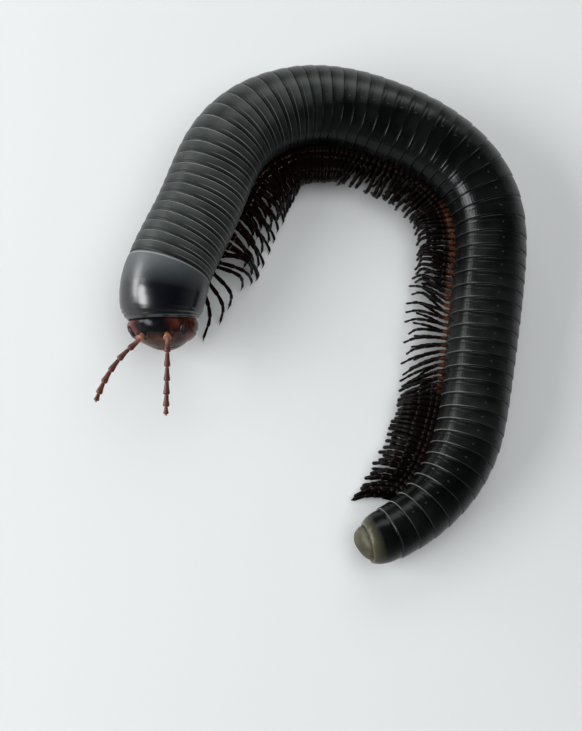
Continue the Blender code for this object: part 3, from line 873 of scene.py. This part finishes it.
def build_eye(name, side):
    ahead, angle = EYE_PLACE[0], side * math.radians(EYE_PLACE[1])
    forward, around, out = head.directions(ahead, angle)
    centre = head.rim(ahead, angle)
    build = bmesh.new()
    lump(build, centre, (forward, around, out), EYE_HALF_SIZE, 32)
    rows = int(EYE_HALF_SIZE[1] / LENS_PITCH)
    columns = int(EYE_HALF_SIZE[0] / LENS_PITCH)
    for row in range(-rows, rows + 1):
        for column in range(-columns, columns + 1):
            x = (column + 0.5 * (row % 2)) * LENS_PITCH
            y = row * LENS_ROW_PITCH
            inside = 1.0 - (x / EYE_HALF_SIZE[0]) ** 2 - (y / EYE_HALF_SIZE[1]) ** 2
            if inside > BARE_MARGIN:
                spot = centre + forward * x + around * y + out * EYE_HALF_SIZE[2] * math.sqrt(inside)
                lump(build, spot, (forward, around, out), [LENS_RADIUS] * 3, 12)
    bmesh.ops.recalc_face_normals(build, faces=build.faces)
    return to_object(name, build)


def make_eye_material():
    material, tree, shader = new_material("Glassy black lenses", 0.08)
    pits, patches = shell_grain(tree, 4000.0, 900.0)
    colour = blend_colours(tree, patches, *LENS_BLACKS)
    tree.links.new(colour, shader.inputs["Base Color"])
    add_bump(tree, shader, pits, 0.1, 0.00002)
    return material


EYE_BLACK = make_eye_material()
for word, side in SIDES:
    eye = build_eye(f"lenses_{word}", side)
    eye.data.materials.append(EYE_BLACK)
    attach(eye, "root")
    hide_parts(f"eye_{word}")

# The cheeks are the broad outer plates of the jaws. They are rounded reddish-brown shell that hugs the
# sides of the head, and a groove crosses each one where its two plates meet.
CHEEK_PLACE = (1.95, 106.0)
CHEEK_HALF_LENGTH = 2.6
CHEEK_HALF_ANGLE = 40.0
# As (reach from the middle to the edge, height over the head)
CHEEK_PROFILE = ((0.03, 0.74), (0.15, 0.73), (0.3, 0.69), (0.45, 0.62), (0.58, 0.53), (0.7, 0.42),
                 (0.8, 0.3), (0.88, 0.18), (0.94, 0.07), (0.98, -0.04), (1.0, -0.18), (0.9, -0.3),
                 (0.5, -0.35), (0.05, -0.35))
CHEEK_STEPS = 3
CHEEK_SIDES = 72
CHEEK_SQUARENESS = 0.75
GROOVE_PLACE = 0.2
GROOVE_WIDTH = 0.11
GROOVE_DEPTH = 0.22
GROOVE_BEND = 0.25
JAW_REDS = ((0.022, 0.004, 0.003, 1.0), (0.14, 0.028, 0.017, 1.0))
GROOVE_BROWN = (0.004, 0.002, 0.002, 1.0)


def build_cheek(name, side):
    rows, grooves = [], []
    for reach, height in refine(CHEEK_PROFILE, CHEEK_STEPS):
        row = []
        for k in range(CHEEK_SIDES):
            turn = 2.0 * math.pi * k / CHEEK_SIDES
            along, across = (math.copysign(abs(way) ** CHEEK_SQUARENESS, way) * reach
                             for way in (math.cos(turn), math.sin(turn)))
            ahead = CHEEK_PLACE[0] + along * CHEEK_HALF_LENGTH
            angle = side * math.radians(CHEEK_PLACE[1] + across * CHEEK_HALF_ANGLE)
            groove = hump(along - GROOVE_PLACE + GROOVE_BEND * across * across, GROOVE_WIDTH)
            lift = height - (GROOVE_DEPTH * groove if height > 0.0 else 0.0)
            row.append(head.rim(ahead, angle) + head.directions(ahead, angle)[2] * lift)
            grooves.append(groove)
        rows.append(row)
    cheek = loft(name, rows)
    mark(cheek, "groove", grooves)
    return cheek


def make_jaw_material():
    material, tree, shader = new_material("Reddish jaw shell", 0.2)
    pits, patches = shell_grain(tree, 2200.0, 450.0)
    colour = blend_colours(tree, ramp(tree, patches, 0.35, 0.65, 0.0, 1.0), *JAW_REDS)
    colour = blend_colours(tree, read_mark(tree, "groove"), colour, GROOVE_BROWN)
    tree.links.new(colour, shader.inputs["Base Color"])
    tree.links.new(ramp(tree, patches, 0.3, 0.7, 0.15, 0.3), shader.inputs["Roughness"])
    add_bump(tree, shader, pits, 0.25, 0.00004)
    shader.inputs["Specular IOR Level"].default_value = 0.3
    return material


JAW_SHELL = make_jaw_material()
for word, side in SIDES:
    cheek = build_cheek(f"cheek_{word}", side)
    cheek.data.materials.append(JAW_SHELL)
    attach(cheek, "root")
    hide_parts(f"mandible_{word}")

# The mouth is closed from below by a flat lower-lip plate of brown shell, which is parted by two long
# grooves and a short cross groove. Its sides are rounded, and two blunt palps stand at its front edge.
MOUTH_PLATE_HALF_SIZE = (2.5, 3.1, 0.75)
MOUTH_PLATE_AHEAD = 2.3
MOUTH_PLATE_RISE = -6.35
MOUTH_GROOVES = (-1.05, 1.05)
MOUTH_GROOVE_DEPTH = 0.2
MOUTH_GROOVE_WIDTH = 0.2
CROSS_GROOVE = -1.0
MOUTH_PLATE_SQUARENESS = 0.75
MOUTH_PLATE_TAPER = 0.1
MOUTH_PLATE_FLATNESS = 0.6
PALP = (0.3, 0.3, 0.24)
PALP_INSET = 0.15
PALP_SIDE = 0.75
PALP_DROP = 0.2


def build_mouth_plate():
    centre = head.place(MOUTH_PLATE_AHEAD, 0.0, MOUTH_PLATE_RISE)
    build = bmesh.new()
    bmesh.ops.create_uvsphere(build, u_segments=96, v_segments=48, radius=1.0)
    for vert in build.verts:
        flat = math.hypot(vert.co.x, vert.co.y)
        widest = max(abs(vert.co.x), abs(vert.co.y), 1e-6)
        square = 1.0 + MOUTH_PLATE_SQUARENESS * (flat / widest - 1.0)
        x, y = vert.co.x * MOUTH_PLATE_HALF_SIZE[0], vert.co.y * MOUTH_PLATE_HALF_SIZE[1]
        x, y = x * square, y * square * (1.0 - MOUTH_PLATE_TAPER * vert.co.x)
        z = math.copysign(abs(vert.co.z) ** MOUTH_PLATE_FLATNESS, vert.co.z) * MOUTH_PLATE_HALF_SIZE[2]
        ways = [y - place for place in MOUTH_GROOVES] + [x - CROSS_GROOVE]
        groove = max(hump(way, MOUTH_GROOVE_WIDTH) for way in ways)
        z += MOUTH_GROOVE_DEPTH * groove if z < 0.0 else 0.0
        vert.co = (centre + head.ahead * x + head.left * y + head.dorsal * z) * MM
    for side in (-1, 1):
        palp = centre + head.ahead * (MOUTH_PLATE_HALF_SIZE[0] - PALP_INSET) + head.left * side * PALP_SIDE
        lump(build, palp - head.dorsal * PALP_DROP, (head.ahead, head.left, head.dorsal), PALP, 16)
    bmesh.ops.recalc_face_normals(build, faces=build.faces)
    return to_object("lower_lip_plate", build)


mouth_plate = build_mouth_plate()
mouth_plate.data.materials.append(JAW_SHELL)
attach(mouth_plate, "root")
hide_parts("mouth_plate")

# The legs are short, dark and many: one pair on each of the first three rings, two pairs on each ring
# behind them, and none on the last two. Each leg is a chain of seven small articles of reddish-black
# shell with paler joints, and ends in a claw. All the legs of one row are joined into one piece.
SINGLE_PAIR_RINGS = 3
LEGLESS_RINGS = 2
LEG_SPREAD = 17.0
ROOT_DEPTH = 0.6
COXA = 1.3
SHANK_LENGTH = 11.6
KNEE_PLACE = 0.5
OUTWARD_KNEE_PLACE = 0.62
LOW_KNEE_RISE = 0.9
FOOT_STEM = 0.9
LEFT_REACH = ((12.8, 10.3), (14.8, 14.7), (16.8, 14.6), (18.6, 17.4), (20.5, 15.6), (24.0, 17.3),
              (46.0, 18.0), (62.0, 14.5), (85.0, 13.5), (105.0, 14.2), (125.0, 14.5), (137.0, 16.0),
              (150.0, 14.8), (165.0, 15.0), (173.0, 14.2), (177.5, 12.0), (181.0, 9.6))
RIGHT_REACH = ((14.0, -8.4), (30.0, -8.4))
LAST_OUTWARD_LEG = 29.0
LOWER_ROW_REACH = ((50.0, 0.8), (65.0, 0.86), (150.0, 0.86), (162.0, 0.94))
FOOT_LEAN = ((12.8, 12.0), (14.8, 8.4), (16.8, 4.2), (18.6, -1.4), (20.5, -1.8), (24.0, 1.6), (27.0, 3.2),
             (40.0, 3.0), (55.0, 1.4), (80.0, 1.0), (125.0, 0.5), (133.0, 3.6), (146.0, -4.2), (157.0, -1.0),
             (165.0, 0.0), (181.0, -10.5))
OUTWARD_LEAN = 0.5
KNEE_BOW = 0.14
PAIR_GATHER = ((40.0, 0.6), (62.0, 0.0))
PAIR_STAGGER = ((40.0, 1.6), (70.0, 1.0), (140.0, 1.0), (160.0, 0.6))
REACH_VARIATION = 0.5
WAVE_LENGTH = 17.0
STRIDE = ((30.0, 0.3), (60.0, 1.2), (120.0, 1.2), (133.0, 0.3), (181.0, 0.4))
LOWER_ROW_SHIFT = ((45.0, 0.0), (62.0, 0.6), (120.0, 0.6), (133.0, 0.0), (147.0, 0.0), (155.0, 0.75))
TIP_BEND = ((12.0, 1.2), (50.0, 1.2), (70.0, 0.4))
LEG_GIRTH = ((90.0, 1.0), (126.0, 1.0), (133.0, 0.85), (146.0, 0.85), (155.0, 1.45))
LIFT = 1.3
OTHER_ROW_PHASE = 0.45
# Where each article ends, as a share of the leg, and how thick it is
LEG_ARTICLES = ((0.13, 0.56), (0.22, 0.52), (0.42, 0.5), (0.58, 0.45), (0.72, 0.4), (0.93, 0.32),
                (1.0, 0.17))
# As (share of the article's length, share of its thickness)
LEG_ARTICLE_PROFILE = ((0.0, 0.72), (0.1, 0.84), (0.4, 0.92), (0.75, 1.0), (0.92, 0.95), (0.98, 0.78))
CLAW_POINT = 0.04
LEG_SIDES = 8
THINNEST_LEG = 0.6
CORNER_CUTS = 3
SWAY_VARIATION = 0.25
SHIN_RISE = 0.25
CLAW_TIP = 0.12
LEG_SEED = 29
LEG_BLACKS = ((0.0015, 0.0007, 0.0006, 1.0), (0.006, 0.002, 0.0017, 1.0))
REAR_LEG_PAINTED_SHADE = (0.0006, 0.0004, 0.0004, 1.0)
COXA_BROWN = (0.12, 0.045, 0.02, 1.0)
# Pale joint skin, also used for painted glints near the leg bases
LEG_JOINT_SKIN_AND_GLINTS = (0.36, 0.23, 0.19, 1.0)


def cut_corners(points):
    """Rounds a line of points by cutting its corners off, with its ends kept."""
    for cut in range(CORNER_CUTS):
        softer = [points[0]]
        for near, far in zip(points, points[1:]):
            softer += [near.lerp(far, 0.25), near.lerp(far, 0.75)]
        points = softer + [points[-1]]
    return points


def leg_line(s, middle, side, odd, chance):
    """The middle of one leg, from inside the belly to the tip of its claw."""
    here = Station(s)
    girth = here.radius / RADIUS
    angle = here.roll + side * math.radians(LEG_SPREAD)
    out = here.around(angle)
    root = here.centre + out * here.radius * (1.0 - BELLY_FLATNESS)
    hip = root + out * COXA
    outward = side < 0 and s < LAST_OUTWARD_LEG
    reach = eased(RIGHT_REACH, s) if outward else eased(LEFT_REACH, s)
    if side < 0 and not outward:
        reach *= eased(LOWER_ROW_REACH, s)
    shorter = eased(PAIR_STAGGER, s) * odd + REACH_VARIATION * (2.0 * chance.random() - 1.0)
    reach -= math.copysign(shorter, reach)
    phase = 2.0 * math.pi * (s / WAVE_LENGTH + (OTHER_ROW_PHASE if side < 0 else 0.0))
    lift = LIFT * max(0.0, math.sin(phase))
    sway = SWAY_VARIATION * (2.0 * chance.random() - 1.0)
    sway += eased(LOWER_ROW_SHIFT, s) if side < 0 else 0.0
    sway += eased(PAIR_GATHER, s) * (middle - s) + eased(STRIDE, s) * math.cos(phase)
    lean = eased(FOOT_LEAN, s) * (OUTWARD_LEAN if outward else 1.0)
    below = Station(s - lean + sway)
    stem = Vector((below.centre.x, below.centre.y, lift + FOOT_STEM)) + below.inward * reach
    foot = stem - UP * FOOT_STEM - below.back * eased(TIP_BEND, s)
    shank = stem - hip
    rise = 0.5 * math.sqrt(max((SHANK_LENGTH * girth) ** 2 - shank.length_squared, 0.0))
    if side < 0:
        rise = LOW_KNEE_RISE
    upward = (UP - shank * (shank.z / shank.length_squared)).normalized()
    bow = here.inward * math.copysign(KNEE_BOW * abs(lean), reach)
    knee = hip.lerp(stem, OUTWARD_KNEE_PLACE if outward else KNEE_PLACE) + upward * rise + bow
    shin = knee + upward * SHIN_RISE * rise
    points = [root - out * ROOT_DEPTH, root, hip, shin, stem, foot + UP * CLAW_POINT]
    thickness = (THINNEST_LEG + (1.0 - THINNEST_LEG) * girth) * eased(LEG_GIRTH, s)
    return cut_corners(points), here.back, thickness


def read_line(points, lengths, at):
    """The point and the direction at a distance along a line."""
    index = next((k for k in range(1, len(lengths) - 1) if at <= lengths[k]), len(lengths) - 1)
    share = (at - lengths[index - 1]) / (lengths[index] - lengths[index - 1])
    return points[index - 1].lerp(points[index], share), (points[index] - points[index - 1]).normalized()


def leg_rows(points, beside, thickness):
    lengths = [0.0]
    for near, far in zip(points, points[1:]):
        lengths.append(lengths[-1] + (far - near).length)
    rows, places = [], []
    start = 0.0
    for number, (end, radius) in enumerate(LEG_ARTICLES):
        for share, width in LEG_ARTICLE_PROFILE:
            at = (start + share * (end - start)) * lengths[-1]
            centre, tangent = read_line(points, lengths, at)
            taper = width
            if number == len(LEG_ARTICLES) - 1:
                taper = 1.0 - share
            girth = radius * thickness * max(taper, CLAW_TIP)
            rows.append(round_row(centre, tangent, beside, girth, LEG_SIDES))
            places.append(number + share)
        start = end
    return rows, places


def build_legs(name, side):
    chance = random.Random(LEG_SEED + side)
    edges = ring_edges()
    build = bmesh.new()
    marks, alongs = [], []
    number = 0
    for ring, (near, far) in enumerate(zip(edges, edges[1:])):
        if ring >= len(edges) - 1 - LEGLESS_RINGS:
            break
        places = LEG_PLACES if ring >= SINGLE_PAIR_RINGS else LEG_PLACES[1:]
        middle = near + sum(places) / len(places) * (far - near)
        for s in [near + place * (far - near) for place in places]:
            points, beside, thickness = leg_line(s, middle, side, number % 2, chance)
            rows, reached = leg_rows(points, beside, thickness)
            loops = [[build.verts.new(point * MM) for point in row] for row in rows]
            for first, second in zip(loops, loops[1:]):
                for k in range(LEG_SIDES):
                    build.faces.new((first[k], first[k - 1], second[k - 1], second[k]))
            build.faces.new(loops[0])
            build.faces.new(loops[-1])
            marks += [place for place in reached for k in range(LEG_SIDES)]
            alongs += [s] * len(rows) * LEG_SIDES
            number += 1
    bmesh.ops.recalc_face_normals(build, faces=build.faces)
    legs = to_object(name, build)
    mark(legs, "article", marks)
    mark(legs, "along", alongs)
    return legs


def make_leg_material():
    material, tree, shader = new_material("Reddish-black leg shell", 0.2)
    article = read_mark(tree, "article")
    share = calculate(tree, "FRACT", article)
    along = read_mark(tree, "along")
    pits, patches = shell_grain(tree, 3200.0, 900.0)
    joint = calculate(tree, "SUBTRACT", 1.0, band(tree, share, 0.08, 0.94, 0.06))
    spots = ramp(tree, patches, 0.5, 0.62, 0.0, 1.0)
    colour = blend_colours(tree, patches, *LEG_BLACKS)
    # Painted shade: the legs further back are painted darker, as less light reaches them
    rear = ramp(tree, along, 45.0, 75.0, 0.0, 1.0)
    colour = blend_colours(tree, calculate(tree, "MULTIPLY", rear, 0.6), colour, REAR_LEG_PAINTED_SHADE)
    # The coxae's own orange-brown shows only from 112 to 146 mm along, where light falls on them; elsewhere
    # they are left dark as painted shade
    lit_coxa_band = ramp(tree, band(tree, along, 112.0, 146.0, 10.0), 0.0, 1.0, 0.012, 0.5)
    coxa = calculate(tree, "MULTIPLY", ramp(tree, article, 0.6, 1.6, 1.0, 0.0), lit_coxa_band)
    coxa = calculate(tree, "MULTIPLY", coxa, ramp(tree, patches, 0.35, 0.6, 0.3, 1.0))
    colour = blend_colours(tree, coxa, colour, COXA_BROWN)
    # Faint pale joint skin on every leg, and painted glints on the first joints of the legs from 22 to 52 mm
    # along
    base_glint_band = calculate(tree, "MULTIPLY", band(tree, article, 0.8, 2.2, 0.5),
                          band(tree, along, 22.0, 52.0, 6.0))
    pale = calculate(tree, "MULTIPLY", joint, ramp(tree, base_glint_band, 0.0, 1.0, 0.06, 0.8))
    colour = blend_colours(tree, calculate(tree, "MULTIPLY", pale, spots), colour, LEG_JOINT_SKIN_AND_GLINTS)
    tree.links.new(colour, shader.inputs["Base Color"])
    tree.links.new(ramp(tree, rear, 0.0, 1.0, 0.2, 0.4), shader.inputs["Roughness"])
    add_bump(tree, shader, pits, 0.25, 0.00004)
    shader.inputs["Specular IOR Level"].default_value = 0.07
    return material


LEG_SHELL = make_leg_material()
for word, side in SIDES:
    legs = build_legs(f"legs_{word}", side)
    legs.data.materials.append(LEG_SHELL)
    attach(legs, "root")

# Two domed valves close the end of the last ring, side by side with a slit between them. They are
# olive-brown shell with a raised lip along the slit.
VALVE_LENGTH = 2.2
VALVE_HALF_WIDTH = 3.3
VALVE_HALF_HEIGHT = 3.8
VALVE_START = BODY_END + 4.95
VALVE_INSET = 0.6
VALVE_SLIT = 0.08
# As (height, distance from the slit, width)
VALVE_LIP = (0.25, 0.3, 0.45)
VALVE_LIP_START = 0.2
VALVE_OLIVES = ((0.032, 0.029, 0.017, 1.0), (0.062, 0.056, 0.036, 1.0))


def build_valve(name, side):
    end = Station(VALVE_START)
    base = end.centre
    build = bmesh.new()
    half_sizes = (VALVE_LENGTH, VALVE_HALF_WIDTH, VALVE_HALF_HEIGHT)
    lump(build, base, (end.back, end.left, end.dorsal), half_sizes, 64)
    for spot, normal in ((base - end.back * VALVE_INSET, -end.back),
                         (base + end.left * side * VALVE_SLIT, -end.left * side)):
        everything = list(build.verts) + list(build.edges) + list(build.faces)
        cut = bmesh.ops.bisect_plane(build, geom=everything, plane_co=spot * MM, plane_no=normal,
                                     clear_outer=True)
        rim = [part for part in cut["geom_cut"] if isinstance(part, bmesh.types.BMEdge)]
        bmesh.ops.contextual_create(build, geom=rim)
    for vert in build.verts:
        across = abs((vert.co / MM - base).dot(end.left))
        behind = (vert.co / MM - base).dot(end.back)
        if behind > VALVE_LIP_START:
            vert.co += end.back * VALVE_LIP[0] * MM * hump(across - VALVE_LIP[1], VALVE_LIP[2])
    bmesh.ops.recalc_face_normals(build, faces=build.faces)
    return to_object(name, build)


def make_valve_material():
    material, tree, shader = new_material("Olive valve shell", 0.42)
    pits, patches = shell_grain(tree, 2400.0, 350.0)
    colour = blend_colours(tree, ramp(tree, patches, 0.35, 0.65, 0.0, 1.0), *VALVE_OLIVES)
    tree.links.new(colour, shader.inputs["Base Color"])
    add_bump(tree, shader, pits, 0.3, 0.00005)
    shader.inputs["Specular IOR Level"].default_value = 0.16
    return material


VALVE_SHELL = make_valve_material()
for word, side in SIDES:
    valve = build_valve(f"tail_valve_{word}", side)
    valve.data.materials.append(VALVE_SHELL)
    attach(valve, "root")
    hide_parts(f"anal_valve_{word}")

# The floor is a plain pale sheet, wide enough to fill every view, with a soft matt grain.
FLOOR_SIZE = 4000.0
FLOOR_GREYS = ((0.5, 0.5, 0.495, 1.0), (0.53, 0.53, 0.525, 1.0))


def build_floor():
    build = bmesh.new()
    bmesh.ops.create_grid(build, x_segments=1, y_segments=1, size=FLOOR_SIZE / 2 * MM)
    floor = to_object("floor", build)
    material, tree, shader = new_material("Pale matt floor", 0.7)
    grain, clouds = shell_grain(tree, 300.0, 6.0)
    colour = blend_colours(tree, clouds, *FLOOR_GREYS)
    tree.links.new(colour, shader.inputs["Base Color"])
    floor.data.materials.append(material)
    return floor


floor = build_floor()

# The light is a soft studio: a wide low window-like softbox on the left with a strong key light above
# it, a wide one behind the arch, and a big sheet of diffuse light overhead for the floor.
LAMP_COLOUR = (0.95, 0.98, 1.0)
DOME_HORIZON = (0.3, 0.305, 0.31, 1.0)
DOME_TOP = (0.012, 0.012, 0.013, 1.0)
# As (name, place, size, power), in metres and watts, and each one is aimed at the middle of the animal
SOFTBOXES = (("window", (-0.8, 0.22, 0.14), (0.8, 0.24), 4.8),
             ("key", (-0.76, -0.16, 0.42), (0.75, 0.34), 9.5),
             ("back", (-0.1, 0.78, 0.58), (1.2, 0.4), 3.6),
             ("overhead", (0.15, 0.0, 1.5), (2.0, 2.0), 23.0))


def add_softboxes():
    for name, place, size, power in SOFTBOXES:
        lamp = bpy.data.lights.new(name, "AREA")
        lamp.shape = "ELLIPSE"
        lamp.size, lamp.size_y = size
        lamp.energy = power
        lamp.color = LAMP_COLOUR
        light = bpy.data.objects.new(name, lamp)
        light.location = place
        light.rotation_euler = (-Vector(place)).to_track_quat("-Z", "Y").to_euler()
        light.visible_glossy = name != "overhead"
        bpy.context.scene.collection.objects.link(light)


def make_dome():
    world = bpy.data.worlds.new("studio_dome")
    bpy.context.scene.world = world
    world.use_nodes = True
    tree = world.node_tree
    direction = add_node(tree, "ShaderNodeTexCoord").outputs["Generated"]
    height = add_node(tree, "ShaderNodeSeparateXYZ", {0: direction}).outputs["Z"]
    colour = blend_colours(tree, ramp(tree, height, 0.1, 0.75, 0.0, 1.0), DOME_HORIZON, DOME_TOP)
    tree.links.new(colour, tree.nodes["Background"].inputs["Color"])


add_softboxes()
make_dome()

# The camera looks down at 73 degrees with the head towards it, at the distance and with the lens that
# give the animal's outline its real perspective.
CAMERA_AIM = Vector((-6.43, -13.58, 9.5))
CAMERA_DISTANCE = 243.7
CAMERA_TILT = Vector((0.2, 0.22))
LENS_PER_WIDTH = 1200.0 / 582.0
SENSOR_WIDTH = 36.0


def add_camera():
    """Its axes are the ones that leave the world's X level in the picture before the tilt."""
    tilt = Vector((*CAMERA_TILT, math.sqrt(1.0 - CAMERA_TILT.length_squared)))
    right = (Vector((1.0, 0.0, 0.0)) - tilt * tilt.x).normalized()
    over = tilt.cross(right)
    camera = bpy.data.objects.new("camera", bpy.data.cameras.new("camera"))
    camera.data.sensor_fit = "HORIZONTAL"
    camera.data.sensor_width = SENSOR_WIDTH
    camera.data.lens = SENSOR_WIDTH * LENS_PER_WIDTH
    camera.data.clip_start = 0.01
    axes = Matrix(((right.x, right.y, right.z), (over.x, over.y, over.z), tuple(tilt)))
    location = (CAMERA_AIM + CAMERA_DISTANCE * Vector((right.z, over.z, tilt.z))) * MM
    camera.matrix_world = Matrix.Translation(location) @ axes.to_4x4()
    bpy.context.scene.collection.objects.link(camera)
    bpy.context.scene.camera = camera


add_camera()
bpy.context.scene.view_settings.view_transform = "Standard"
